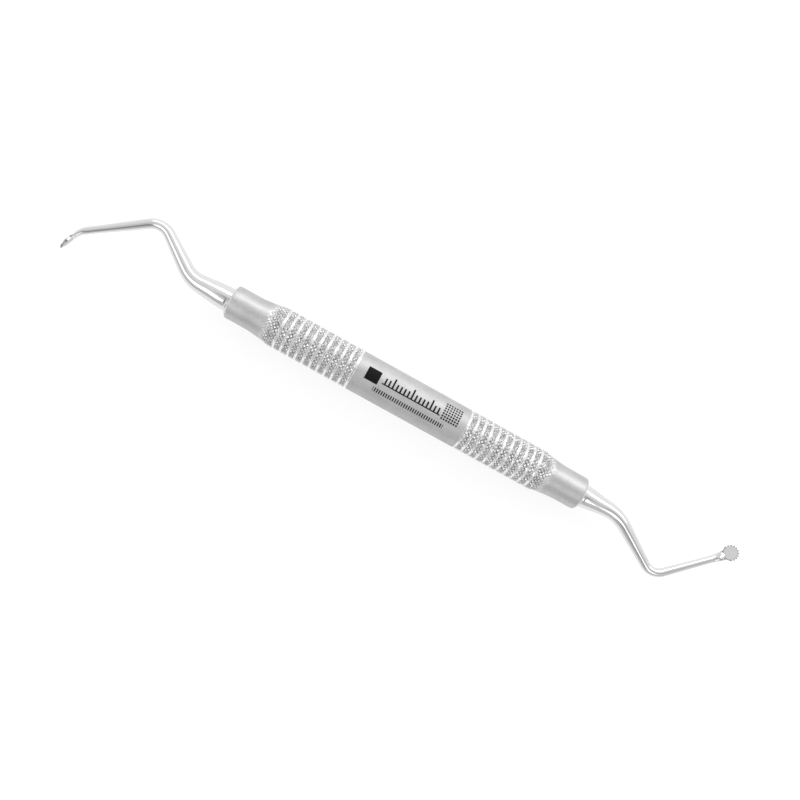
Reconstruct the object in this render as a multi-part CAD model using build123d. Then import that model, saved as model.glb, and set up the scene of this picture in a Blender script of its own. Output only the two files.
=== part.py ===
from build123d import *
from math import asin, cos, pi, radians, sin, sqrt
import os

# Double-ended bone curette, lying on the floor. Millimetres.
# X runs along the handle, Z points up, the floor is z = 0.

# Handle: one tube, turned outside, with a plain bore
grip_r = 5.0
knurl_r = 5.05
knurl_end = 35.5
barrel_r = 4.14
barrel_start = 42.5
handle_half = 47.75
end_round = 0.9
bore_r = 3.0

# Ring grooves: eleven on each side of the plain middle band
groove_first = 14.82
groove_pitch = 1.92
groove_count = 11
groove_wide = 0.62
groove_floor = 0.26
groove_depth = 0.36

# Working ends: plug pressed in the bore, collar, bent tapered shank, blade
plug_depth = 12.0
collar_out = 0.6
collar_edge = 0.2

# Shank paths: straight lengths, bend angles in degrees and bend radii,
# from the mouth of the handle outwards. The last bend is the neck of the blade.
left_path = dict(run1=7.2, bend1=36.0, r1=8.3, run2=8.4, bend2=72.0, r2=4.5, run3=14.5)
right_path = dict(run1=6.6, bend1=32.0, r1=11.8, run2=10.6, bend2=75.3, r2=4.1, run3=12.0)
neck_bend = 31.0
neck_r = 5.0

# Shank diameters at shares of the way from the collar to the neck
left_taper = [(0.0, 5.8), (0.06, 5.6), (0.12, 5.0), (0.2, 4.25), (0.28, 3.7), (0.38, 3.35), (0.46, 2.95),
              (0.55, 2.7), (0.62, 2.4), (0.7, 2.3), (0.8, 2.1), (0.9, 1.85), (1.0, 1.75)]
right_taper = [(0.0, 5.7), (0.055, 5.25), (0.12, 4.4), (0.18, 3.9), (0.245, 3.6), (0.3, 3.4), (0.39, 3.05),
               (0.475, 2.7), (0.56, 2.5), (0.64, 2.25), (0.73, 2.1), (0.87, 1.9), (1.0, 1.8)]
sections_per_run = 3
sections_per_bend = 6

# Blade: flat-faced shovel with a rounded back and teeth round its front.
# Its face is cut into the upper half of the neck, down from a sloped step.
heel_wide = 2.3
heel_deep = 1.25
heel_run = 1.2
face_drop = 0.42
step_at = 0.95
step_wide = 2.2
step_round = 1.35
step_slope = 1.0
blade_r = 1.98
blade_centre = 2.55
blade_deep = 1.0
blade_shoulder = 112.0
back_ball = 4.6
tooth_gaps = 10
tooth_pitch = 22.0
tooth_cut = 0.4

# Turn of each working end's neck bend about its own shank, in degrees:
# the left blade curves in the plane of its shank, the right one towards the top
left_turn = -10.0
right_turn = 66.0

# The pose on the floor: where the middle of the handle's axis lies, so that
# the middle of the whole tool's box is over the origin, and the roll about it
axis_x = -0.322
axis_y = 0.238
axis_height = 5.05
roll = 0.0


# Handle

def groove_points(x):
    """Four points of one ring groove, from its left edge to its right edge."""
    return [
        (x - groove_wide / 2, 0, knurl_r),
        (x - groove_floor / 2, 0, knurl_r - groove_depth),
        (x + groove_floor / 2, 0, knurl_r - groove_depth),
        (x + groove_wide / 2, 0, knurl_r),
    ]


def handle_half_outline():
    """Right half of the outline, from the middle of the band to the bore."""
    points = [(0, 0, grip_r), (groove_first - groove_wide / 2, 0, grip_r)]
    for n in range(groove_count):
        points += groove_points(groove_first + n * groove_pitch)
    points.append((knurl_end, 0, knurl_r))
    drop = knurl_r - barrel_r
    run = barrel_start - knurl_end
    neck_curve = (run * run + drop * drop) / (2 * drop)
    half = asin(run / neck_curve) / 2
    middle = (
        barrel_start - neck_curve * sin(half),
        0,
        barrel_r + neck_curve * (1 - cos(half)),
    )
    grip = Polyline(*points)
    neck = ThreePointArc((knurl_end, 0, knurl_r), middle, (barrel_start, 0, barrel_r))
    shoulder = handle_half - end_round
    barrel = Line((barrel_start, 0, barrel_r), (shoulder, 0, barrel_r))
    centre_r = barrel_r - end_round
    corner = ThreePointArc(
        (shoulder, 0, barrel_r),
        (shoulder + end_round * sin(pi / 4), 0, centre_r + end_round * cos(pi / 4)),
        (handle_half, 0, centre_r),
    )
    face = Line((handle_half, 0, centre_r), (handle_half, 0, bore_r))
    return grip + neck + barrel + corner + face


def make_handle():
    """Tube turned from one bar: the outline and its mirror image, spun round X."""
    half = handle_half_outline()
    bore = Line((-handle_half, 0, bore_r), (handle_half, 0, bore_r))
    outline = half + mirror(half, about=Plane.YZ) + bore
    return revolve(make_face(outline.edges()), Axis.X, 360)


# Shank path

def walk(start, heading, side, up, steps):
    """Frames along straight runs and bends: place, heading and side vector."""
    place = Vector(*start)
    ahead = Vector(*heading)
    left = Vector(*side)
    top = Vector(*up)
    frames = [(place, ahead, left, top, 0.0)]
    gone = 0.0
    for length, turn in steps:
        count = sections_per_bend if turn else sections_per_run
        for n in range(count):
            part = radians(turn) / count
            chord = length / count
            if turn:
                chord = 2 * (length / radians(abs(turn))) * sin(abs(part) / 2)
            middle = ahead * cos(part / 2) + left * sin(part / 2)
            place = place + middle * chord
            ahead, left = ahead * cos(part) + left * sin(part), left * cos(part) - ahead * sin(part)
            gone += length / count
            frames.append((place, ahead, left, top, gone))
    return frames


def taper_at(table, share):
    """Diameter at a share of the way, straight between the table's rows."""
    for (s0, d0), (s1, d1) in zip(table, table[1:]):
        if share <= s1:
            return d0 + (d1 - d0) * (share - s0) / (s1 - s0)
    return table[-1][1]


def shank_frames(path, end, turn):
    """Frames of one bent shank; end is -1 for the left one and 1 for the right."""
    steps = [
        (path["run1"], 0),
        (radians(path["bend1"]) * path["r1"], path["bend1"]),
        (path["run2"], 0),
        (radians(path["bend2"]) * path["r2"], -path["bend2"]),
        (path["run3"], 0),
    ]
    start = (end * (handle_half + collar_out), 0, 0)
    frames = walk(start, (end, 0, 0), (0, -end, 0), (0, 0, 1), steps)
    place, ahead, left, top, gone = frames[-1]
    a = radians(turn)
    curl = left * (-cos(a)) + top * sin(a)
    over = ahead.cross(curl)
    neck = walk(tuple(place), tuple(ahead), tuple(curl), tuple(over),
                [(radians(neck_bend) * neck_r, neck_bend)])
    return frames, neck


def section(frame, seam, wide, deep):
    """Oval across the bar; its long way and its seam follow the blade's width."""
    place, ahead, left, top, gone = frame
    across = left * seam[0] + top * seam[1]
    return Plane(origin=place, x_dir=across, z_dir=ahead) * Ellipse(wide / 2, deep / 2)


def make_bar(frames, neck, taper):
    """Round tapered shank that flattens and widens along the neck, as one body."""
    over = neck[0][3]
    seam = (over.dot(frames[-1][2]), over.dot(frames[-1][3]))
    total = frames[-1][4]
    ovals = []
    for frame in frames[:-1]:
        size = taper_at(taper, frame[4] / total)
        ovals.append(section(frame, seam, size, size))
    tip = taper[-1][1]
    count = len(neck) - 1
    for n, frame in enumerate(neck):
        wide = tip + (heel_wide - tip) * (n / count) ** 2
        deep = tip + (heel_deep - tip) * (n / count)
        ovals.append(section(frame, (0, 1), wide, deep))
    place, ahead, curl, over, gone = neck[-1]
    ovals.append(section((place + ahead * heel_run, ahead, curl, over, gone), (0, 1), heel_wide, heel_deep))
    return loft(ovals, ruled=True)


# Blade

def blade_outline():
    """The face seen from above: straight flared sides and a round front."""
    a = radians(blade_shoulder)
    shoulder = (blade_centre + blade_r * cos(a), blade_r * sin(a))
    far_shoulder = (shoulder[0], -shoulder[1])
    front = ThreePointArc(shoulder, (blade_centre + blade_r, 0), far_shoulder)
    near = heel_wide / 2 - 0.15
    sides = Polyline(
        far_shoulder,
        (step_at, -step_wide / 2),
        (-0.4, -near),
        (-0.4, near),
        (step_at, step_wide / 2),
        shoulder,
    )
    return make_face((front + sides).edges())


def blade_body():
    """The outline made thick, with its back cut to the surface of a ball."""
    body = extrude(blade_outline(), -blade_deep)
    middle = blade_centre - blade_r / 3
    return body & Pos(middle, 0, back_ball - blade_deep) * Sphere(back_ball)


def face_cut():
    """What is milled off above the face: a block, less the sloped round step."""
    corner = (Align.MIN, Align.CENTER, Align.MIN)
    middle = (Align.CENTER, Align.CENTER, Align.MIN)
    block = Pos(step_at - step_round / 2, 0, 0) * Box(8, 8, 2, align=corner)
    step = Cone(step_round, 0.1, (step_round - 0.1) / step_slope, align=middle)
    return block - Pos(step_at - step_round, 0, 0) * step


def tooth_notches():
    """V-shaped cuts round the front, in from the outside."""
    half_gap = 0.94 * blade_r * sin(radians(tooth_pitch) / 2)
    spare = 0.1
    mouth = half_gap * (tooth_cut + spare) / tooth_cut
    notch = make_face(Polyline(
        (blade_r - tooth_cut, 0),
        (blade_r + spare, mouth),
        (blade_r + spare, -mouth),
        close=True,
    ))
    cutter = extrude(Pos(0, 0, -1.2) * notch, 1.4)
    centre = Pos(blade_centre, 0, 0)
    return [
        centre * Rot(0, 0, (n - (tooth_gaps - 1) / 2) * tooth_pitch) * cutter
        for n in range(tooth_gaps)
    ]


def make_working_end(path, taper, end, turn):
    """Plug, collar, shank, neck and blade in one piece."""
    frames, neck = shank_frames(path, end, turn)
    plug_long = plug_depth + collar_out
    plug = Cylinder(bore_r, plug_long, rotation=(0, 90, 0))
    plug = Pos(end * (handle_half + collar_out - plug_long / 2), 0, 0) * plug
    rim = plug.edges().filter_by(GeomType.CIRCLE).sort_by(Axis.X)
    plug = chamfer(rim[-1] if end > 0 else rim[0], collar_edge)
    place, ahead, curl, over, gone = neck[-1]
    face = Plane(origin=place + curl * (heel_deep / 2 - face_drop), x_dir=ahead, z_dir=curl)
    body = make_bar(frames, neck, taper) + face * blade_body()
    body -= face * face_cut()
    for cutter in tooth_notches():
        body -= face * cutter
    return plug + body


# Assembly in the pose it rests in

def lay_down(shape):
    """From the handle's own axis to the floor, with the origin under the tool."""
    return Pos(axis_x, axis_y, axis_height) * Rot(roll, 0, 0) * shape


handle = lay_down(make_handle())
left_end = lay_down(make_working_end(left_path, left_taper, -1, left_turn))
right_end = lay_down(make_working_end(right_path, right_taper, 1, right_turn))

os.makedirs("parts", exist_ok=True)
export_step(handle, "parts/handle.step")
export_step(left_end, "parts/left_working_end.step")
export_step(right_end, "parts/right_working_end.step")
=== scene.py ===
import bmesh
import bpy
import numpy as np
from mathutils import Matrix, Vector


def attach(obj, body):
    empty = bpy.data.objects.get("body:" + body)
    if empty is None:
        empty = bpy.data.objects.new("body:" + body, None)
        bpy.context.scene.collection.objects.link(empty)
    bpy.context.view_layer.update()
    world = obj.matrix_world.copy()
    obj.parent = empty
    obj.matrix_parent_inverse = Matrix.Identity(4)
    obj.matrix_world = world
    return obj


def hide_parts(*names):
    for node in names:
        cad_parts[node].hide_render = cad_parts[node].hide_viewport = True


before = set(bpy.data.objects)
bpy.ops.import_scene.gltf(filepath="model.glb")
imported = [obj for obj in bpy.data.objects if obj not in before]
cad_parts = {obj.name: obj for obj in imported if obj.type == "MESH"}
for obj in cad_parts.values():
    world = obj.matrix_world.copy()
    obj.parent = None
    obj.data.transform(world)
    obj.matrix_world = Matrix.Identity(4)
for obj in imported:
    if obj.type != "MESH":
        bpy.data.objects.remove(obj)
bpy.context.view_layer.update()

# %% [markdown]
# A bone curette is a hand tool for scraping bone: a round steel handle with a
# bent shank at each end, and on each shank a flat-faced blade a few
# millimetres wide with teeth round its front. The lesson rebuilds it from its
# measurements. All lengths are in millimetres and become metres when a mesh is
# made.

# %% [markdown]
# The handle is a turned bar, so one axis carries everything. The solids lie
# with that axis a little off the origin, because the origin is under the
# middle of the whole tool. The same three numbers place every mesh here.

# %% Where the handle's axis lies
AXIS = np.array([-0.322, 0.238, 5.05])
print("handle's axis in mm", AXIS.tolist())

# %% [markdown]
# Blender can spin an outline or bevel a curve into a bar. Here every piece is
# a grid of points worked out with numpy instead, because then each point's
# place comes from one formula, and the faces follow from counting rows and
# columns.

# %% Helpers for meshes
def make_piece(name, points, faces, sharp_degrees=None, carried=None):
    """A mesh object from points in mm on the handle's own axis and a face list.

    The place is in the mesh, so the object stays at the origin. Shading is
    smooth, except across edges sharper than sharp_degrees. carried holds
    labelled numbers or vectors, one per point, for the material to read.
    """
    mesh = bpy.data.meshes.new(name)
    mesh.from_pydata(((points + AXIS) / 1000).tolist(), [], faces)
    for label, values in (carried or {}).items():
        vectors = values.ndim == 2
        layer = mesh.attributes.new(label, "FLOAT_VECTOR" if vectors else "FLOAT", "POINT")
        layer.data.foreach_set("vector" if vectors else "value", values.astype(np.float32).ravel())
    mesh.shade_smooth()
    if sharp_degrees:
        mesh.set_sharp_from_angle(angle=np.radians(sharp_degrees))
    piece = bpy.data.objects.new(name, mesh)
    bpy.context.scene.collection.objects.link(piece)
    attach(piece, "root")
    print(name, "faces", len(mesh.polygons))
    return piece


def grid_faces(rows, columns, close_rows=False):
    """Quads of a grid whose columns go all the way round; rows may close too.

    Corner k of a quad is (row, column), (row + 1, column), (row + 1, column + 1),
    (row, column + 1), with the last column joined to the first.
    """
    row = np.arange(rows if close_rows else rows - 1)[:, None]
    column = np.arange(columns)[None, :]
    below = (row + 1) % rows
    beside = (column + 1) % columns
    corners = [row * columns + column, below * columns + column,
               below * columns + beside, row * columns + beside]
    return np.stack([c.ravel() for c in np.broadcast_arrays(*corners)], axis=1)


def turn_outward(piece):
    """Faces of every closed part of the mesh point outwards."""
    work = bmesh.new()
    work.from_mesh(piece.data)
    bmesh.ops.recalc_face_normals(work, faces=work.faces)
    work.to_mesh(piece.data)
    work.free()


# %% [markdown]
# The handle's outline, from the middle band outwards: eleven narrow ring
# grooves, a strip of knurl, a hollow curve down to the thinner barrel, a
# rounded corner, and the flat end with the bore. A lathe makes exactly this,
# so the mesh is that outline carried round the axis. A Screw modifier would do
# for a smooth bar, but the knurl's radius also changes on the way round.

# %% Outline of the handle
GRIP_R, KNURL_R, KNURL_END = 5.0, 5.05, 35.5
BARREL_R, BARREL_START, HANDLE_HALF = 4.14, 42.5, 47.75
END_ROUND, BORE_R, MOUTH_EDGE = 0.9, 3.0, 0.08
GROOVE_FIRST, GROOVE_PITCH, GROOVE_COUNT = 14.82, 1.92, 11
GROOVE_WIDE, GROOVE_FLOOR, GROOVE_DEPTH = 0.62, 0.26, 0.36
BAND_END = GROOVE_FIRST - GROOVE_WIDE / 2

# The hollow curve is one arc, which runs level into the barrel
CURVE_RUN, CURVE_DROP = BARREL_START - KNURL_END, KNURL_R - BARREL_R
CURVE_R = (CURVE_RUN ** 2 + CURVE_DROP ** 2) / (2 * CURVE_DROP)
print("radius of the hollow curve in mm", round(CURVE_R, 2))

# The knurl has its full depth up to the first place and is gone at the second
KNURL_FULL, KNURL_GONE = 36.6, 38.4

# Rings of points on the plain band, and steps between them further out
BAND_RINGS = [0.0, 7.0, 13.6]
LAND_STEPS, RUN_OUT_STEPS, CURVE_STEPS = 9, 29, 7


def taper_r(x):
    """Radius outside the band: level, then the arc down to the barrel, which is
    barrel radius + arc radius - root of (arc radius^2 - way to the barrel^2)."""
    to_barrel = np.clip(BARREL_START - x, 0, CURVE_RUN)
    arc = BARREL_R + CURVE_R - np.sqrt(CURVE_R ** 2 - to_barrel ** 2)
    return np.where(x <= KNURL_END, KNURL_R, arc)


def half_columns():
    """Places along one half of the outside where the mesh has a ring of points.

    Grooves get a ring on each of their four corners, the knurl gets rings
    0.14 mm apart, and the plain parts get few.
    """
    places = [np.array(BAND_RINGS)]
    for n in range(GROOVE_COUNT):
        x = GROOVE_FIRST + n * GROOVE_PITCH
        places.append(x + np.array([-GROOVE_WIDE, -GROOVE_FLOOR, GROOVE_FLOOR, GROOVE_WIDE]) / 2)
        land_end = x + GROOVE_PITCH - GROOVE_WIDE / 2
        if n < GROOVE_COUNT - 1:
            places.append(np.linspace(x + GROOVE_WIDE / 2, land_end, LAND_STEPS + 1)[1:-1])
    last = GROOVE_FIRST + (GROOVE_COUNT - 1) * GROOVE_PITCH + GROOVE_WIDE / 2
    places.append(np.linspace(last, KNURL_GONE, RUN_OUT_STEPS + 1)[1:])
    places.append(np.linspace(KNURL_GONE, BARREL_START, CURVE_STEPS + 1)[1:])
    places.append(np.array([HANDLE_HALF - END_ROUND]))
    return np.concatenate(places)


half_x = half_columns()
print("rings on half of the handle", len(half_x))

# %% [markdown]
# A diamond knurl is two sets of slanted V-shaped furrows pressed into the bar.
# Thirty furrows go round in each direction at 45 degrees. The wheel that
# presses them lifts off on the hollow curve, so there they get shallower and
# run out, as on the real handle. A bump in the material would be less work,
# but it leaves the bar's edge smooth, so the furrows are in the mesh.

# %% Knurl pressed into the bar
KNURL_STARTS, KNURL_DEPTH, FURROW_SHARE = 30, 0.30, 0.90
KNURL_PITCH = 2 * np.pi * KNURL_R / KNURL_STARTS
AROUND = 8 * KNURL_STARTS
around = np.arange(AROUND) * 2 * np.pi / AROUND
print("pitch of the knurl in mm", round(KNURL_PITCH, 2), "points round the bar", AROUND)


def furrow(turns):
    """Depth of one set of furrows: a V at every whole number of turns, 1 at its
    bottom and 0 on the land, FURROW_SHARE of the pitch wide."""
    away = 2 * np.abs(turns - np.round(turns))
    return np.clip(1 - away / FURROW_SHARE, 0, 1)


def knurled_r(x, angle):
    """Radius of the knurled bar: the outline's radius minus the deeper of the
    two furrow sets, whose depth falls evenly to nothing over the last stretch."""
    pressed = np.clip((KNURL_GONE - np.abs(x)) / (KNURL_GONE - KNURL_FULL), 0, 1)
    there = furrow(KNURL_STARTS * angle / (2 * np.pi) + x / KNURL_PITCH)
    back = furrow(KNURL_STARTS * angle / (2 * np.pi) - x / KNURL_PITCH)
    return taper_r(np.abs(x)) - KNURL_DEPTH * pressed * np.maximum(there, back)


def groove_r(x):
    """Radius left by the ring grooves: a flat floor between two slopes."""
    place = (x - GROOVE_FIRST) / GROOVE_PITCH
    nearest = np.clip(np.round(place), 0, GROOVE_COUNT - 1)
    away = np.abs(place - nearest) * GROOVE_PITCH
    slope = (GROOVE_WIDE / 2 - away) / ((GROOVE_WIDE - GROOVE_FLOOR) / 2)
    return KNURL_R - GROOVE_DEPTH * np.clip(slope, 0, 1)


def outside_r(x, angle):
    """Radius of the finished outside at distance x from the middle."""
    far = np.abs(x)
    rough = np.minimum(knurled_r(x, angle), groove_r(far))
    return np.where(far <= BAND_END, GRIP_R, rough)


# %% [markdown]
# The handle is a tube, and its mesh is one too: outside, corner, end face,
# bore, and back to the outside. A solid bar with a dark spot at each end would
# look the same from far off. The tube closes in both directions, so it has no
# open edge, and the bore is really there.

# %% Handle mesh
def handle_surface():
    """Points x, r cos a, r sin a over the whole outline, row by row.

    Rows run from the left corner along the outside to the right corner, round
    it by a quarter circle, and home through the bore.
    """
    long_x = np.concatenate([-half_x[:0:-1], half_x])
    rows_x = np.broadcast_to(long_x[:, None], (len(long_x), AROUND))
    rows_r = outside_r(rows_x, around[None, :])
    corner = np.radians([22.5, 45, 67.5, 90])
    corner_x = HANDLE_HALF - END_ROUND + END_ROUND * np.sin(corner)
    corner_r = BARREL_R - END_ROUND + END_ROUND * np.cos(corner)
    mouth_x = np.array([HANDLE_HALF, HANDLE_HALF - MOUTH_EDGE, 0])
    mouth_r = np.array([BORE_R + MOUTH_EDGE, BORE_R, BORE_R])
    home_x = np.concatenate([corner_x, mouth_x, -mouth_x[1::-1], -corner_x[::-1]])
    home_r = np.concatenate([corner_r, mouth_r, mouth_r[1::-1], corner_r[::-1]])
    x = np.concatenate([rows_x, np.broadcast_to(home_x[:, None], (len(home_x), AROUND))])
    r = np.concatenate([rows_r, np.broadcast_to(home_r[:, None], (len(home_r), AROUND))])
    return np.stack([x, r * np.cos(around), r * np.sin(around)], axis=2), len(x)


handle_points, handle_rows = handle_surface()
handle = make_piece(
    "handle_turned", handle_points.reshape(-1, 3),
    grid_faces(handle_rows, AROUND, close_rows=True).tolist(), sharp_degrees=24)
turn_outward(handle)
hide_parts("handle")

# %% [markdown]
# A shank is one bar, ground to a taper and bent. A line is walked step by
# step, with two directions across it that turn with the bends, and rings of
# points are set on it. A bevelled curve could stand for the bar, but it can't
# turn from round to oval at the neck.

# %% Line of a shank: runs as (length, 0), bends as (radius, degrees)
LEFT_PATH = [(7.2, 0), (8.3, 36.0), (8.4, 0), (4.5, -72.0), (14.5, 0)]
RIGHT_PATH = [(6.6, 0), (11.8, 32.0), (10.6, 0), (4.1, -75.3), (12.0, 0)]
NECK_BEND, NECK_R, COLLAR_OUT = 31.0, 5.0, 0.6
SHANK_SPACING, NECK_SPACING = 0.3, 0.15


def walk(place, ahead, left, steps, spacing):
    """Places and directions along runs and bends, at about the given spacing.

    A run moves straight on by its length. A bend of radius r turns the two
    directions by equal small angles and moves along each chord between them,
    which is 2 r sin(angle / 2) long.
    """
    places, aheads, lefts = [place], [ahead], [left]
    for size, degrees in steps:
        length = size if degrees == 0 else np.radians(abs(degrees)) * size
        count = max(2, int(np.ceil(length / spacing)))
        part = np.radians(degrees) / count
        chord = length / count if degrees == 0 else 2 * size * np.sin(abs(part) / 2)
        turned = part * np.arange(1, count + 1)[:, None]
        middle = turned - part / 2
        first_a, first_l = aheads[-1], lefts[-1]
        moves = chord * (first_a * np.cos(middle) + first_l * np.sin(middle))
        start = places[-1]
        places.extend(start + np.cumsum(moves, axis=0))
        aheads.extend(first_a * np.cos(turned) + first_l * np.sin(turned))
        lefts.extend(first_l * np.cos(turned) - first_a * np.sin(turned))
    return np.array(places), np.array(aheads), np.array(lefts)


def distance_gone(places):
    """Distance from the first place to each place: the steps added up."""
    steps = np.linalg.norm(np.diff(places, axis=0), axis=1)
    return np.concatenate([[0], np.cumsum(steps)])


for side, path in (("left", LEFT_PATH), ("right", RIGHT_PATH)):
    line = walk(np.zeros(3), np.eye(3)[0], np.eye(3)[1], path, SHANK_SPACING)[0]
    print(side, "shank up to its neck in mm", round(distance_gone(line)[-1], 1))

# %% [markdown]
# The shank's thickness is a list of diameters read at shares of its length.
# Straight pieces between them would show as faint rings in polished steel, so
# the list is smoothed by averaging it over a short stretch. A fitted curve
# would be smooth too, but it can swing past the sizes that it is given.

# %% Taper of a shank: shares of the way from collar to neck, and diameters
LEFT_TAPER = [(0.0, 5.8), (0.06, 5.6), (0.12, 5.0), (0.2, 4.25), (0.28, 3.7), (0.38, 3.35),
              (0.46, 2.95), (0.55, 2.7), (0.62, 2.4), (0.7, 2.3), (0.8, 2.1), (0.9, 1.85), (1.0, 1.75)]
RIGHT_TAPER = [(0.0, 5.7), (0.055, 5.25), (0.12, 4.4), (0.18, 3.9), (0.245, 3.6), (0.3, 3.4),
               (0.39, 3.05), (0.475, 2.7), (0.56, 2.5), (0.64, 2.25), (0.73, 2.1), (0.87, 1.9), (1.0, 1.8)]
SMOOTHED_OVER, SMOOTHING_SHIFTS = 0.07, 15


def taper_d(table, share):
    """Diameter at each share: the mean of the table's straight lines, read at
    shifts that together span SMOOTHED_OVER."""
    shares, sizes = np.array(table).T
    shifts = np.linspace(-SMOOTHED_OVER / 2, SMOOTHED_OVER / 2, SMOOTHING_SHIFTS)
    return np.mean([np.interp(share + s, shares, sizes) for s in shifts], axis=0)


for side, table in (("left", LEFT_TAPER), ("right", RIGHT_TAPER)):
    print(side, "shank's diameters in mm", taper_d(table, np.linspace(0, 1, 5)).round(2).tolist())

# %% [markdown]
# Past the last bend the bar is flattened into an oval neck that curls over
# into the blade. The blade's face is milled into the upper half of the neck,
# so the neck ends in a round, sloped step down to the face. A Boolean cut
# would leave ragged faces there. Instead, the neck's upper points are lowered
# onto a cone, which keeps the grid whole.

# %% Sizes of the neck, the step and the plug
HEEL_WIDE, HEEL_DEEP, HEEL_RUN, FACE_DROP = 2.3, 1.25, 1.2, 0.42
STEP_AT, STEP_ROUND, UNDER_FACE = 0.95, 1.35, 0.03
HEEL_RINGS, HEEL_POLE = 16, 0.3
RING = 48
ring_angle = np.arange(RING) * 2 * np.pi / RING

# Plug and collar: how far each ring lies before the shank, and its diameter
PLUG_DEPTH, PLUG_AT_MOUTH, COLLAR_STEP = 12.0, 0.2, 0.12
PLUG_RINGS = [(PLUG_DEPTH + COLLAR_OUT, 5.98), (PLUG_AT_MOUTH + COLLAR_OUT, 5.98), (0.22, 6.0), (0.06, 5.76)]
print("a shank's ring has", RING, "points")


# %% Rings of one working end
def ring_points(places, across, up, wide, deep):
    """Ovals: place + across wide/2 cos a + up deep/2 sin a, one row per place."""
    return (places[:, None, :]
            + across[:, None, :] * (wide[:, None] / 2 * np.cos(ring_angle))[:, :, None]
            + up[:, None, :] * (deep[:, None] / 2 * np.sin(ring_angle))[:, :, None])


def heel_rings(face):
    """Ovals under the face, with their tops lowered onto the step.

    The step is a cone: its height falls one for one with the distance from a
    point STEP_ROUND behind the step's front. Further out the tops are flat,
    UNDER_FACE below the face. Behind the step nothing is cut.
    """
    x = np.linspace(0, HEEL_RUN, HEEL_RINGS + 1)[1:, None]
    y = np.broadcast_to(HEEL_WIDE / 2 * np.cos(ring_angle), (HEEL_RINGS, RING))
    z = FACE_DROP - HEEL_DEEP / 2 + HEEL_DEEP / 2 * np.sin(ring_angle) + 0 * x
    cone = STEP_ROUND - np.hypot(x - STEP_AT + STEP_ROUND, y)
    milled = np.where(x > STEP_AT - STEP_ROUND / 2, np.maximum(cone, -UNDER_FACE), np.inf)
    z = np.minimum(z, milled)
    return (face["place"] + (x + 0 * y)[:, :, None] * face["ahead"]
            + y[:, :, None] * face["over"] + z[:, :, None] * face["curl"])


def unbent(rings):
    """Places along X, Y and Z that ring points would have on a straight bar:
    the distance gone, then radius cos a and radius sin a. In metres."""
    middles = rings.mean(axis=1)
    gone = distance_gone(middles)
    radius = np.linalg.norm(rings - middles[:, None, :], axis=2)
    straight = np.stack([gone[:, None] + 0 * radius, radius * np.cos(ring_angle),
                         radius * np.sin(ring_angle)], axis=2)
    ends = [[gone[0], 0, 0], [gone[-1], 0, 0]]
    return np.concatenate([straight.reshape(-1, 3), ends]) / 1000


def working_end(path, taper, end, turn):
    """All rings of one end, from the plug to the heel of the blade.

    end is -1 for the left end and 1 for the right one; turn is how far the
    neck's curl is rolled about the shank. Returns the points, the places they
    had before the bar was bent, the number of rings and the frame of the
    blade's face: place, ahead, over and curl.
    """
    x0 = HANDLE_HALF + COLLAR_OUT
    ahead0 = np.array([end, 0.0, 0.0])
    left0 = np.array([0.0, -end, 0.0])
    top = np.array([0.0, 0.0, 1.0])
    places, aheads, lefts = walk(ahead0 * x0, ahead0, left0, path, SHANK_SPACING)
    a = np.radians(turn)
    curl0 = -lefts[-1] * np.cos(a) + top * np.sin(a)
    over = np.cross(aheads[-1], curl0)
    seam_left, seam_top = over @ lefts[-1], over @ top
    gone = distance_gone(places)
    size = taper_d(taper, gone / gone[-1])
    across = lefts * seam_left + top * seam_top
    up = np.cross(across, aheads)

    neck_p, neck_a, neck_c = walk(places[-1], aheads[-1], curl0, [(NECK_R, NECK_BEND)], NECK_SPACING)
    share = np.linspace(0, 1, len(neck_p))
    tip = size[-1]
    neck_wide = tip + (HEEL_WIDE - tip) * share ** 2
    neck_deep = tip + (HEEL_DEEP - tip) * share
    face = dict(place=neck_p[-1] + neck_c[-1] * (HEEL_DEEP / 2 - FACE_DROP),
                ahead=neck_a[-1], over=over, curl=neck_c[-1])

    before, plug_d = np.array(PLUG_RINGS + [(0.0, size[0] - COLLAR_STEP)]).T
    plug_p = ahead0 * (x0 - before)[:, None]
    count = len(before)
    rows = [
        (plug_p, np.tile(across[0], (count, 1)), np.tile(up[0], (count, 1)), plug_d, plug_d),
        (places[1:-1], across[1:-1], up[1:-1], size[1:-1], size[1:-1]),
        (neck_p, np.tile(over, (len(neck_p), 1)), np.cross(over, neck_a), neck_wide, neck_deep),
    ]
    rings = np.concatenate([ring_points(*row) for row in rows] + [heel_rings(face)])
    finish = face["place"] + face["ahead"] * HEEL_RUN - face["curl"] * HEEL_POLE
    points = np.concatenate([rings.reshape(-1, 3), [plug_p[0], finish]])
    return points, unbent(rings), len(rings), face


# %% [markdown]
# The blade is a little shovel about 4 mm wide: a flat ground face, straight
# flared sides, a round front with V-shaped teeth, and a back that is part of a
# ball. Ten cutters could be taken off a plate, one for each gap. Seen from its
# middle, though, the outline is one distance for each direction, so the grid
# is polar: rings of the same outline, larger and larger over the face, down
# the edge, and smaller again over the back.

# %% Outline of the blade
BLADE_R, BLADE_CENTRE, BLADE_DEEP, BLADE_SHOULDER = 1.98, 2.55, 1.0, 112.0
STEP_WIDE, BACK_BALL, HEEL_BEHIND, HEEL_SET_IN = 2.2, 4.6, 0.4, 0.15
TOOTH_GAPS, TOOTH_PITCH, TOOTH_CUT, GAP_SHARE = 10, 22.0, 0.4, 0.94

# Directions in degrees in which the corners at the step and the heel lie
STEP_CORNER, HEEL_CORNER = 145.5, 161.3


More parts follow.
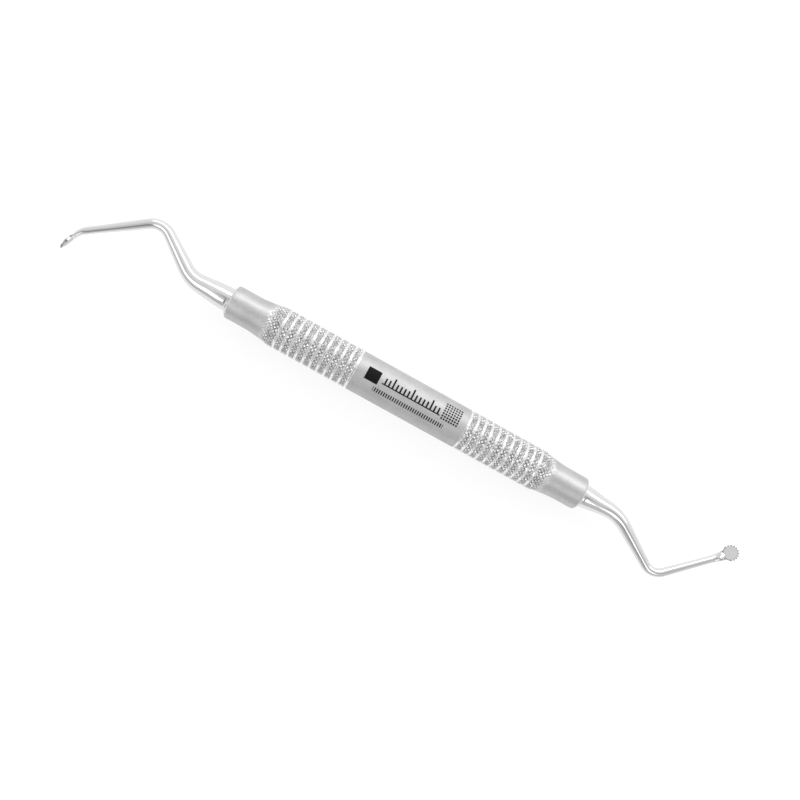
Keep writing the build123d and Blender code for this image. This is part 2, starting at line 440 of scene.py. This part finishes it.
def blade_directions():
    """Directions from the blade's middle: ten for each tooth round the front,
    fewer along the sides, from -180 to 180 degrees."""
    front = np.arange(0, BLADE_SHOULDER - 1, TOOTH_PITCH / 10)
    stretches = [(BLADE_SHOULDER, STEP_CORNER, 9), (STEP_CORNER, HEEL_CORNER, 5), (HEEL_CORNER, 180, 5)]
    sides = [np.linspace(first, last, count)[1:] for first, last, count in stretches]
    half = np.concatenate([front, [BLADE_SHOULDER], *sides])
    return np.radians(np.concatenate([-half[:0:-1], half])[:-1])


def side_distance(direction, first, second):
    """Distance to the straight line through two points, along a direction:
    the cross product of the points over that of the direction and the line."""
    along = np.subtract(second, first)
    cross = first[0] * second[1] - first[1] * second[0]
    return cross / (np.cos(direction) * along[1] - np.sin(direction) * along[0])


def blade_reach(direction):
    """Distance from the blade's middle to its edge in each direction.

    Round in front, less a V at each gap between teeth; straight from the
    shoulder to the step, along the heel, and across behind it.
    """
    turn = np.abs(direction)
    place = np.degrees(direction) / TOOTH_PITCH - 0.5
    away = np.abs(place - np.round(place)) * 2
    toothed = np.abs(np.degrees(direction)) <= TOOTH_GAPS / 2 * TOOTH_PITCH
    front = BLADE_R - np.where(toothed, TOOTH_CUT * np.clip(1 - away / GAP_SHARE, 0, 1), 0)
    shoulder = np.radians(BLADE_SHOULDER)
    corners = [(BLADE_R * np.cos(shoulder), BLADE_R * np.sin(shoulder)),
               (STEP_AT - BLADE_CENTRE, STEP_WIDE / 2),
               (-HEEL_BEHIND - BLADE_CENTRE, HEEL_WIDE / 2 - HEEL_SET_IN)]
    flare = side_distance(turn, corners[0], corners[1])
    heel = side_distance(turn, corners[1], corners[2])
    behind = (BLADE_CENTRE + HEEL_BEHIND) / np.maximum(-np.cos(turn), 1e-6)
    up_to = [turn <= np.arctan2(y, x) + 1e-9 for x, y in corners]
    return np.select(up_to, [front, flare, heel], behind)


print("blade is", round(2 * BLADE_R, 2), "mm wide, with", len(blade_directions()), "points round it")

# %% Blade surface: rings at shares of the way to the edge
FACE_SHARES = [0.3, 0.6, 0.8, 0.9, 0.985, 1.0]
BACK_SHARES = [1.0, 0.985, 0.95, 0.9, 0.8, 0.6, 0.3]
EDGE_ROUND = 0.03


def blade_surface(face):
    """Rings of the outline over the face, down the edge and over the back.

    The back's height is the ball's: centre height minus the root of ball
    radius squared minus the squared distance from the ball's middle. Returns
    points, ring count, points in a ring and, for each point, how much it is
    part of the face and its share of the way out to the tooth tips.
    """
    direction = blade_directions()
    reach = blade_reach(direction)
    share = np.array(FACE_SHARES + BACK_SHARES)
    over_face = len(FACE_SHARES)
    radius = share[:, None] * reach[None, :]
    x = BLADE_CENTRE + radius * np.cos(direction)
    y = radius * np.sin(direction)
    ball_x = BLADE_CENTRE - BLADE_R / 3
    back = BACK_BALL - BLADE_DEEP - np.sqrt(BACK_BALL ** 2 - (x - ball_x) ** 2 - y ** 2)
    z = np.where(np.arange(len(share))[:, None] < over_face, 0.0, back)
    z[over_face - 1] -= EDGE_ROUND
    z[over_face] += EDGE_ROUND
    rings = (face["place"] + x[:, :, None] * face["ahead"]
             + y[:, :, None] * face["over"] + z[:, :, None] * face["curl"])
    middle = face["place"] + face["ahead"] * BLADE_CENTRE
    under = BACK_BALL - BLADE_DEEP - np.sqrt(BACK_BALL ** 2 - (BLADE_CENTRE - ball_x) ** 2)
    points = np.concatenate([rings.reshape(-1, 3), [middle, middle + face["curl"] * under]])
    ground = np.repeat(np.arange(len(share)) < over_face - 1, len(direction))
    rim = np.clip(np.hypot(x - BLADE_CENTRE, y) / BLADE_R, 0, 1).ravel()
    return (points, len(share), len(direction),
            np.concatenate([ground, [True, False]]), np.concatenate([rim, [0, 0]]))


# %% [markdown]
# Shank and blade are one piece of steel, so both grids go into one mesh. Each
# is closed by a fan of triangles at both ends, and the two overlap where they
# meet. A Boolean union would merge them, but it would break up both grids.

# %% Working ends
def fan_faces(pole, first, columns, flip=False):
    """Triangles from one pole point to a ring of points that starts at first."""
    here = first + np.arange(columns)
    beside = first + (np.arange(columns) + 1) % columns
    tip = np.full(columns, pole)
    order = [tip, beside, here] if flip else [tip, here, beside]
    return np.stack(order, axis=1)


def closed_faces(first, rings, columns):
    """Quads between rings of points from number first on, and a fan to each of
    the two pole points that follow them."""
    pole = first + rings * columns
    faces = [grid_faces(rings, columns) + first, fan_faces(pole, first, columns),
             fan_faces(pole + 1, pole - columns, columns, flip=True)]
    return [face for part in faces for face in part.tolist()]


def make_working_end(name, node, path, taper, end, turn):
    """Shank rings and blade rings in one mesh that stands for one solid."""
    shank, straight, rings, face = working_end(path, taper, end, turn)
    blade, blade_rings, columns, ground, rim = blade_surface(face)
    faces = closed_faces(0, rings, RING) + closed_faces(len(shank), blade_rings, columns)
    off = (blade - face["place"]) / 1000
    on_blade = np.stack([off @ face["over"], off @ face["ahead"], off @ face["curl"]], axis=1)
    none = np.zeros(len(shank))
    carried = {"Ground face": np.concatenate([none, ground]),
               "Way to the teeth": np.concatenate([none, rim]),
               "Unbent place": np.concatenate([straight, on_blade])}
    piece = make_piece(name, np.concatenate([shank, blade]), faces, sharp_degrees=30, carried=carried)
    turn_outward(piece)
    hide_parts(node)
    return piece


LEFT_TURN, RIGHT_TURN = -10.0, 66.0
left_end = make_working_end(
    "left_end_polished", "left_working_end", LEFT_PATH, LEFT_TAPER, -1, LEFT_TURN)
right_end = make_working_end(
    "right_end_polished", "right_working_end", RIGHT_PATH, RIGHT_TAPER, 1, RIGHT_TURN)

# %% [markdown]
# Both finishes are bare stainless steel, and differ only in how it was worked.
# Nodes could be wired one by one in each material. The helpers below place
# and link a node in one line, so that each formula reads as it would on paper,
# and what several finishes use becomes a node group with named inputs.

# %% Helpers for materials
def add_node(tree, kind, **values):
    """A node with its settings and plain input values given by name."""
    node = tree.nodes.new(kind)
    for key, value in values.items():
        if hasattr(node, key):
            setattr(node, key, value)
        else:
            node.inputs[key.replace("_", " ")].default_value = value
    return node


def new_group(name, inputs, outputs):
    """An empty node group: inputs as (label, kind, first value), and outputs
    that are all plain numbers."""
    group = bpy.data.node_groups.new(name, "ShaderNodeTree")
    for label, kind, value in inputs:
        socket = group.interface.new_socket(label, in_out="INPUT", socket_type="NodeSocket" + kind)
        if value is not None:
            socket.default_value = value
    for label in outputs:
        group.interface.new_socket(label, in_out="OUTPUT", socket_type="NodeSocketFloat")
    print("node group", name, "puts out", outputs)
    return group, group.nodes.new("NodeGroupInput"), group.nodes.new("NodeGroupOutput")


def place_group(tree, group, links, **values):
    """A node that uses a group, with some inputs linked and some set."""
    node = add_node(tree, "ShaderNodeGroup", node_tree=group, **values)
    for label, source in links.items():
        tree.links.new(source, node.inputs[label])
    return node.outputs


def feed(tree, socket, value):
    """Sets a plain number on a socket, or links another socket to it."""
    if isinstance(value, (int, float)):
        socket.default_value = value
    else:
        tree.links.new(value, socket)


def math(tree, operation, first, second=None, third=None, clamp=False):
    """One Math node; numbers are set on its sockets and sockets are linked."""
    node = add_node(tree, "ShaderNodeMath", operation=operation, use_clamp=clamp)
    for n, value in enumerate([first, second, third]):
        if value is not None:
            feed(tree, node.inputs[n], value)
    return node.outputs[0]


def within(tree, value, middle, half, soft):
    """Mask that is 1 where value is within half of middle, with a soft edge:
    (half + soft / 2 - |value - middle|) / soft, kept between 0 and 1."""
    away = math(tree, "ABSOLUTE", math(tree, "SUBTRACT", value, middle))
    return math(tree, "MULTIPLY", math(tree, "SUBTRACT", half + soft / 2, away), 1 / soft, clamp=True)


def blend(tree, first, second, mask):
    """first where mask is 0 and second where it is 1."""
    node = add_node(tree, "ShaderNodeMix", data_type="FLOAT")
    for n, value in ((0, mask), (2, first), (3, second)):
        feed(tree, node.inputs[n], value)
    return node.outputs[0]


def layered(tree, level, noises, **weights):
    """level, plus each named noise times its weight."""
    for label, weight in weights.items():
        level = math(tree, "MULTIPLY_ADD", noises[label], weight, level)
    return level


def new_steel(name):
    """A material whose shader is plain bare metal, with its node tree."""
    material = bpy.data.materials.new(name)
    material.use_nodes = True
    steel = material.node_tree.nodes["Principled BSDF"]
    steel.inputs["Metallic"].default_value = 1.0
    return material, material.node_tree, steel


def dent(tree, steel, height, strength, distance):
    """A Bump node between a height and the shader's normal."""
    bump = add_node(tree, "ShaderNodeBump", Strength=strength, Distance=distance)
    tree.links.new(height, bump.inputs["Height"])
    tree.links.new(bump.outputs["Normal"], steel.inputs["Normal"])


# %% [markdown]
# Worked steel is never even: blasting leaves pits, polishing leaves fine lines
# along the work, and handling leaves slow clouds. Painted pictures could show
# this, but noise needs none and holds up close. One group makes all three
# kinds, and both finishes use it with their own sizes.

# %% Effect: worked grain
def worked_grain():
    """Fine pits, streaks drawn out along X, and slow clouds, from three noises.

    The streaks are noise read from a vector whose X is divided by Stretch.
    """
    group, given, out = new_group(
        "Worked grain",
        [("Vector", "Vector", None), ("Grain size mm", "Float", 0.12),
         ("Streak size mm", "Float", 0.3), ("Stretch", "Float", 25.0), ("Cloud size mm", "Float", 6.0)],
        ["Grain", "Streaks", "Clouds"])
    split = add_node(group, "ShaderNodeSeparateXYZ")
    group.links.new(given.outputs["Vector"], split.inputs[0])
    drawn = add_node(group, "ShaderNodeCombineXYZ")
    group.links.new(math(group, "DIVIDE", split.outputs["X"], given.outputs["Stretch"]), drawn.inputs["X"])
    group.links.new(split.outputs["Y"], drawn.inputs["Y"])
    group.links.new(split.outputs["Z"], drawn.inputs["Z"])
    for label, source, size, detail in [
            ("Grain", given.outputs["Vector"], "Grain size mm", 3.0),
            ("Streaks", drawn.outputs[0], "Streak size mm", 2.0),
            ("Clouds", given.outputs["Vector"], "Cloud size mm", 2.0)]:
        noise = add_node(group, "ShaderNodeTexNoise", Detail=detail, Roughness=0.55)
        group.links.new(source, noise.inputs["Vector"])
        group.links.new(math(group, "DIVIDE", 1000.0, given.outputs[size]), noise.inputs["Scale"])
        group.links.new(noise.outputs["Fac"], out.inputs[label])
    return group


grain_group = worked_grain()

# %% [markdown]
# Grooves, knurl and marks all sit at known places on a round bar. A UV map
# could say where a point is, but the object's own coordinates turned into
# lengths along, round and out from the axis do so without one.

# %% Effect: place on the handle
def handle_place():
    """Where a point is on the handle, in mm: along it from the middle, round it
    from the top line (arc length at the band's radius), and out from the axis."""
    group, given, out = new_group(
        "Handle place", [("Vector", "Vector", None)], ["Along mm", "Round mm", "Out mm"])
    split = add_node(group, "ShaderNodeSeparateXYZ")
    group.links.new(given.outputs["Vector"], split.inputs[0])
    x, y, z = [math(group, "MULTIPLY_ADD", split.outputs[n], 1000.0, -float(AXIS[n])) for n in range(3)]
    square = math(group, "MULTIPLY_ADD", z, z, math(group, "MULTIPLY", y, y))
    group.links.new(x, out.inputs["Along mm"])
    group.links.new(math(group, "MULTIPLY", math(group, "ARCTAN2", y, z), GRIP_R), out.inputs["Round mm"])
    group.links.new(math(group, "SQRT", square), out.inputs["Out mm"])
    return group


place_on_handle = handle_place()

# %% [markdown]
# The ring grooves were cut after the blasting, so they are bright, and the
# valleys of the knurl get painted shade, darker the deeper they are, with patchy
# dirt in it. Painting by hand would do for one picture.
# Masks from the mesh's own numbers fit the cuts from every side.

# %% Effect: ring grooves and knurl valleys
def grooves_and_valleys():
    """Masks from the same numbers as the mesh: 1 in a ring groove, 1 on the
    knurl, and 0 on a knurl crest to 1 at the bottom of its valleys.

    How deep a point lies is the outline's radius, which follows the hollow
    curve by the formula of taper_r, minus its distance from the axis.
    """
    group, given, out = new_group(
        "Grooves and valleys", [("Along mm", "Float", 0.0), ("Out mm", "Float", 5.0)],
        ["Groove", "Knurled", "Valley"])
    far = math(group, "ABSOLUTE", given.outputs["Along mm"])
    place = math(group, "DIVIDE", math(group, "SUBTRACT", far, GROOVE_FIRST), GROOVE_PITCH)
    nearest = math(group, "MAXIMUM", math(group, "ROUND", place), 0.0)
    nearest = math(group, "MINIMUM", nearest, GROOVE_COUNT - 1)
    middle = math(group, "MULTIPLY_ADD", nearest, GROOVE_PITCH, GROOVE_FIRST)
    groove = within(group, far, middle, GROOVE_WIDE / 2 - 0.01, 0.06)
    pressed = math(group, "MULTIPLY", math(group, "SUBTRACT", KNURL_GONE, far),
                   1 / (KNURL_GONE - KNURL_FULL), clamp=True)
    knurled = math(group, "MULTIPLY", math(group, "GREATER_THAN", far, BAND_END), pressed)
    to_barrel = math(group, "MINIMUM", math(group, "SUBTRACT", BARREL_START, far), CURVE_RUN)
    square = math(group, "MULTIPLY", to_barrel, to_barrel)
    arc = math(group, "SQRT", math(group, "SUBTRACT", CURVE_R ** 2, square))
    outline = math(group, "SUBTRACT", BARREL_R + CURVE_R, arc)
    depth = math(group, "MULTIPLY", math(group, "SUBTRACT", outline, given.outputs["Out mm"]),
                 1 / KNURL_DEPTH, clamp=True)
    between = math(group, "SUBTRACT", 1.0, groove)
    valley = math(group, "MULTIPLY", math(group, "MULTIPLY", depth, knurled), between)
    for label, mask in (("Groove", groove), ("Knurled", knurled), ("Valley", valley)):
        group.links.new(mask, out.inputs[label])
    return group


cut_masks = grooves_and_valleys()

# %% [markdown]
# A laser burns dark marks into the band of such a handle. These are plain
# ones that say nothing: ticks, a field and dots. They could be thin pieces of
# mesh, but a burnt mark has no height, so it is a mask over the steel.

# %% Effect: marks on the middle band
# Boxes round the marks, in mm: middle along, middle round, length and height
TICK_SCALE, LONG_TICKS, BASE_LINE = (0.0, 1.05, 15.0, 1.5), (0.0, 1.55, 15.0, 2.5), (0.0, 0.2, 15.42, 0.3)
LOWER_ROW, SOLID_FIELD, DOT_GRID = (0.3, -1.9, 18.6, 1.1), (-10.3, 0.9, 3.4, 3.2), (10.3, 1.8, 4.6, 4.6)
TICK_WIDE, MARK_EDGE = 0.42, 0.05
DOT_STEP, DOT_WIDE = 0.66, 0.44


def band_marks():
    """Plain marks of a marking laser: a scale of ticks, a row of short ticks
    below it, a solid field before them and an even grid of dots after them.

    A tick is a stretch of the length along that repeats once a step; the
    fields are rectangles in the lengths along and round the band.
    """
    group, given, out = new_group(
        "Band marks", [("Along mm", "Float", 0.0), ("Round mm", "Float", 9.0)], ["Mark"])
    along, round_ = given.outputs["Along mm"], given.outputs["Round mm"]

    def box(x, y, wide, high):
        return math(group, "MULTIPLY", within(group, along, x, wide / 2, MARK_EDGE),
                    within(group, round_, y, high / 2, MARK_EDGE))

    def ticks(step, wide, value=along, shift=0.0):
        beat = math(group, "SUBTRACT", value, shift)
        nearest = math(group, "MULTIPLY", math(group, "ROUND", math(group, "DIVIDE", beat, step)), step)
        return within(group, math(group, "SUBTRACT", beat, nearest), 0.0, wide / 2, MARK_EDGE)

    dots = math(group, "MULTIPLY", ticks(DOT_STEP, DOT_WIDE, along, DOT_GRID[0]),
                ticks(DOT_STEP, DOT_WIDE, round_, DOT_GRID[1]))
    mark = math(group, "MAXIMUM", box(*BASE_LINE), box(*SOLID_FIELD))
    for area, inside in [(TICK_SCALE, ticks(1.0, TICK_WIDE)), (LONG_TICKS, ticks(5.0, TICK_WIDE)),
                         (LOWER_ROW, ticks(0.6, 0.3)), (DOT_GRID, dots)]:
        mark = math(group, "MAXIMUM", mark, math(group, "MULTIPLY", box(*area), inside))
    group.links.new(mark, out.inputs["Mark"])
    return group


mark_group = band_marks()

# %% [markdown]
# The handle is bead blasted, so it is grey and soft. Its ring grooves and end
# corners were cut afterwards and are still bright, and the end corners also
# carry a painted highlight. Painted shade darkens the knurl valleys and the gap
# round the shank. One plain grey would look like plastic, so colour and
# roughness both follow the grain, and each cut or mark is then laid over them
# by its mask.

# %% Steel of the handle
# How bright the steel is where it is not plain, with a painted highlight on the end
# corner and painted shade in the gap, and gains on knurl crests and on the
# valleys' painted shade and dirt
CUT_BRIGHT, CORNER_HIGHLIGHT, GAP_SHADE, MARK_DARK = 0.97, 0.92, 0.16, 0.02
CREST_GAIN, VALLEY_SHADE_AND_DIRT_GAIN = 1.46, 0.20


def handle_steel():
    """Blasted steel: the colour comes from clouds, streaks and grain, with
    painted shade and patchy dirt in the knurl valleys; bright grooves, a painted
    highlight on the end corners, painted shade at the gap round the shank and
    the dark marks are laid over it."""
    material, tree, steel = new_steel("handle_steel")
    where = add_node(tree, "ShaderNodeTexCoord").outputs["Object"]
    grain = place_group(tree, grain_group, {"Vector": where}, Grain_size_mm=0.32, Cloud_size_mm=2.6)
    place = place_group(tree, place_on_handle, {"Vector": where})
    along = place["Along mm"]
    cut = place_group(tree, cut_masks, {"Along mm": along, "Out mm": place["Out mm"]})
    mark = place_group(tree, mark_group, {"Along mm": along, "Round mm": place["Round mm"]})["Mark"]
    band = within(tree, along, 0.0, BAND_END, 0.1)
    far = math(tree, "ABSOLUTE", along)

    base = layered(tree, 0.38, grain, Clouds=0.14, Streaks=0.12, Grain=0.22)
    patchy = math(tree, "MULTIPLY", math(tree, "SUBTRACT", grain["Grain"], 0.38), 4.0, clamp=True)
    # painted shade in the knurl valleys, darker the deeper they are, with patchy dirt from the grain
    valley_shade_and_dirt = math(tree, "MULTIPLY", cut["Valley"], math(tree, "MULTIPLY_ADD", patchy, 0.85, 0.25))
    knurl = math(tree, "MULTIPLY", base, blend(tree, CREST_GAIN, VALLEY_SHADE_AND_DIRT_GAIN, valley_shade_and_dirt))
    for level, mask in [
            (knurl, cut["Knurled"]), (CUT_BRIGHT, cut["Groove"]),
            # painted highlight on the rounded end corner
            (CORNER_HIGHLIGHT, within(tree, far, HANDLE_HALF - 0.3, 0.14, 0.14)),
            # painted shade on the end face and mouth, at the gap round the shank
            (GAP_SHADE, within(tree, far, HANDLE_HALF + 0.1, 0.16, 0.06)), (MARK_DARK, mark)]:
        base = blend(tree, base, level, mask)
    tree.links.new(base, steel.inputs["Base Color"])

    rough = blend(tree, blend(tree, 0.40, 0.21, cut["Knurled"]), 0.50, band)
    rough = layered(tree, rough, grain, Grain=0.10, Streaks=0.06)
    rough = blend(tree, rough, 0.22, cut["Groove"])
    rough = blend(tree, rough, 0.6, mark)
    tree.links.new(rough, steel.inputs["Roughness"])
    dent(tree, steel, grain["Grain"], 0.3, 0.00004)
    return material


handle.data.materials.append(handle_steel())
print("material on", handle.name, "is", handle.data.materials[0].name)

# %% [markdown]
# The shanks are polished, with fine lines left along them, and the blade's
# face is ground, so it is greyer and rougher, and darker towards its teeth.
# Anisotropic shading could stand for the lines, but it hides them up close.
# Here they are streaks that read the place that each point had before the bar
# was bent, which the mesh carries, so they follow the bends.

# %% Steel of the working ends
TEETH_FROM, TEETH_DARK, SIDES_DARK = 0.76, 0.24, 0.35


def polished_steel():
    """Bright steel with polishing lines along the shank, and a ground face.

    Both darken towards the teeth, from TEETH_FROM of the way out.
    """
    material, tree, steel = new_steel("polished_steel")
    straight, face, outward = [
        add_node(tree, "ShaderNodeAttribute", attribute_name=label).outputs[kind]
        for label, kind in (("Unbent place", "Vector"), ("Ground face", "Fac"), ("Way to the teeth", "Fac"))]
    grain = place_group(tree, grain_group, {"Vector": straight},
                        Grain_size_mm=0.2, Streak_size_mm=0.22, Stretch=30.0, Cloud_size_mm=5.0)
    teeth = math(tree, "MULTIPLY", math(tree, "SUBTRACT", outward, TEETH_FROM), 5.0, clamp=True)
    bright = blend(tree, layered(tree, 0.76, grain, Streaks=0.16), SIDES_DARK, teeth)
    ground = blend(tree, layered(tree, 0.38, grain, Grain=0.5), TEETH_DARK, teeth)
    tree.links.new(blend(tree, bright, ground, face), steel.inputs["Base Color"])
    rough = layered(tree, 0.03, grain, Clouds=0.06, Streaks=0.12)
    ground_rough = layered(tree, 0.32, grain, Grain=0.2)
    tree.links.new(blend(tree, rough, ground_rough, face), steel.inputs["Roughness"])
    dent(tree, steel, math(tree, "MULTIPLY", grain["Grain"], face), 0.2, 0.00002)
    return material


shank_polish = polished_steel()
for piece in (left_end, right_end):
    piece.data.materials.append(shank_polish)
    print("material on", piece.name, "is", shank_polish.name)

# %% [markdown]
# The tool lies on a plain white floor. A floor painted white would throw so
# much light back that the lower sides of the steel go white too. So the paint
# is grey, and a glow that only the camera and mirror reflections see makes it
# read as white, while it still takes a soft shadow.

# %% Floor
FLOOR_HALF, FLOOR_GREY = 3.0, 0.36
GLOW_FOR_CAMERA, GLOW_IN_MIRRORS = 0.74, 0.62


def make_floor():
    """A wide plane under the tool, in metres, with its own glow: the camera's
    share and the mirrors' share, each times its Light Path mask."""
    mesh = bpy.data.meshes.new("floor")
    corners = [(-1, -1, 0), (1, -1, 0), (1, 1, 0), (-1, 1, 0)]
    mesh.from_pydata((FLOOR_HALF * np.array(corners)).tolist(), [], [(0, 1, 2, 3)])
    floor = bpy.data.objects.new("floor", mesh)
    bpy.context.scene.collection.objects.link(floor)
    material = bpy.data.materials.new("pale_floor")
    material.use_nodes = True
    tree = material.node_tree
    paint = tree.nodes["Principled BSDF"]
    paint.inputs["Base Color"].default_value = (FLOOR_GREY, FLOOR_GREY, FLOOR_GREY, 1)
    paint.inputs["Roughness"].default_value = 0.95
    paint.inputs["Specular IOR Level"].default_value = 0.0
    paint.inputs["Emission Color"].default_value = (1, 1, 1, 1)
    path = add_node(tree, "ShaderNodeLightPath")
    for_camera = math(tree, "MULTIPLY", path.outputs["Is Camera Ray"], GLOW_FOR_CAMERA)
    glow = math(tree, "MULTIPLY_ADD", path.outputs["Is Glossy Ray"], GLOW_IN_MIRRORS, for_camera)
    tree.links.new(glow, paint.inputs["Emission Strength"])
    mesh.materials.append(material)
    print("floor is", 2 * FLOOR_HALF, "m wide")


make_floor()

# %% [markdown]
# Polished steel mirrors what is round it, so the lamps are placed by what each
# side of a round bar sees: a bright panel beyond the tool, and two dimmer ones
# on the near side with a gap between them. Point lamps would show as hard
# dots, and soft wide panels show as the long bands seen on real shanks.

# %% Panels: place and size in metres, and how bright the face looks
PANELS = {
    "far_panel": ((0.05, 0.57, 0.41), (1.3, 0.26), 1.8),
    "near_left_panel": ((-0.42, -0.35, 0.606), (0.64, 0.30), 1.15),
    "near_right_panel": ((0.32, -0.35, 0.606), (0.30, 0.30), 1.15),
}


def make_panel(name, place, size, glow):
    """A soft rectangular lamp that points at the tool, given by how bright its
    face looks; the watts are that brightness times pi times the area."""
    lamp = bpy.data.lights.new(name, "AREA")
    lamp.shape = "RECTANGLE"
    lamp.size, lamp.size_y = size
    lamp.energy = glow * np.pi * size[0] * size[1]
    panel = bpy.data.objects.new(name, lamp)
    panel.location = place
    panel.rotation_mode = "QUATERNION"
    panel.rotation_quaternion = (-Vector(place)).to_track_quat("-Z", "Y")
    bpy.context.scene.collection.objects.link(panel)
    print(name, "watts", round(lamp.energy, 2))


for name, (place, size, glow) in PANELS.items():
    make_panel(name, place, size, glow)

# %% [markdown]
# Between the panels the steel sees the room: lighter beyond the tool than near
# it, darker straight above, and with a dark stand in the gap on the near side,
# which gives the handle its grey lower half. Boxes and walls could be built
# for this, but then the camera would have to look past them, so the world's
# own brightness by direction does it.

# %% Room
ROOM_FAR, ROOM_NEAR, ROOM_TOP, ROOM_STAND = 0.92, 0.52, 0.34, 0.26

# Where the dark patches lie by direction: middle, half and softness along X, then Y
TOP_PATCH = ((0.13, 0.42, 0.2), (0.03, 0.13, 0.16))
STAND_PATCH = ((0.10, 0.16, 0.15), (-0.45, 0.36, 0.2))


def make_room():
    """The world's brightness by direction: a slow change from near to far, with
    the two patches laid over it, and white where the camera looks past the floor."""
    world = bpy.data.worlds.new("studio")
    world.use_nodes = True
    tree = world.node_tree
    sky = tree.nodes["Background"]
    where = add_node(tree, "ShaderNodeTexCoord")
    split = add_node(tree, "ShaderNodeSeparateXYZ")
    tree.links.new(where.outputs["Generated"], split.inputs[0])
    x, y = split.outputs["X"], split.outputs["Y"]
    side = add_node(tree, "ShaderNodeMapRange", From_Min=-1.0, From_Max=1.0,
                    To_Min=ROOM_NEAR, To_Max=ROOM_FAR)
    tree.links.new(y, side.inputs["Value"])
    room = side.outputs[0]
    for level, (along_x, along_y) in ((ROOM_TOP, TOP_PATCH), (ROOM_STAND, STAND_PATCH)):
        patch = math(tree, "MULTIPLY", within(tree, x, *along_x), within(tree, y, *along_y))
        room = blend(tree, room, level, patch)
    path = add_node(tree, "ShaderNodeLightPath")
    strength = math(tree, "MAXIMUM", room, path.outputs["Is Camera Ray"])
    tree.links.new(strength, sky.inputs["Strength"])
    sky.inputs["Color"].default_value = (1, 1, 1, 1)
    bpy.context.scene.world = world
    print("room is", ROOM_FAR, "bright beyond the tool and", ROOM_NEAR, "near it")


make_room()

# %% [markdown]
# The camera stands almost straight above the tool. Its place and turn could be
# set by eye. They come from fitting the known sizes of the handle to the
# picture instead, with the picture's frame taken as 800 by 800.

# %% Camera: place in mm from the middle of the handle, and its three directions
CAMERA_PLACE = np.array([-16.51, 0.044, 201.574])
RIGHT_ROW = (0.87299673, 0.48390118, 0.06096188)
DOWN_ROW = (0.48223126, -0.87510163, 0.04062203)
AHEAD_ROW = (0.07300489, -0.00606518, -0.99731314)
FOCAL_PIXELS, FRAME_PIXELS, SENSOR_MM = 849.63, 800, 36.0

lens = bpy.data.cameras.new("camera")
lens.sensor_width = SENSOR_MM
lens.lens = FOCAL_PIXELS / FRAME_PIXELS * SENSOR_MM
lens.clip_start = 0.01
lens.clip_end = 20.0
camera = bpy.data.objects.new("camera", lens)
turn = np.array([RIGHT_ROW, -np.array(DOWN_ROW), -np.array(AHEAD_ROW)]).T
spot = (CAMERA_PLACE + AXIS) / 1000
camera.matrix_world = Matrix.Translation(spot.tolist()) @ Matrix(turn.tolist()).to_4x4()
bpy.context.scene.collection.objects.link(camera)
bpy.context.scene.camera = camera
bpy.context.scene.view_settings.view_transform = "Standard"
print("camera's lens in mm", round(lens.lens, 2), "height in mm", round(1000 * spot[2], 1))
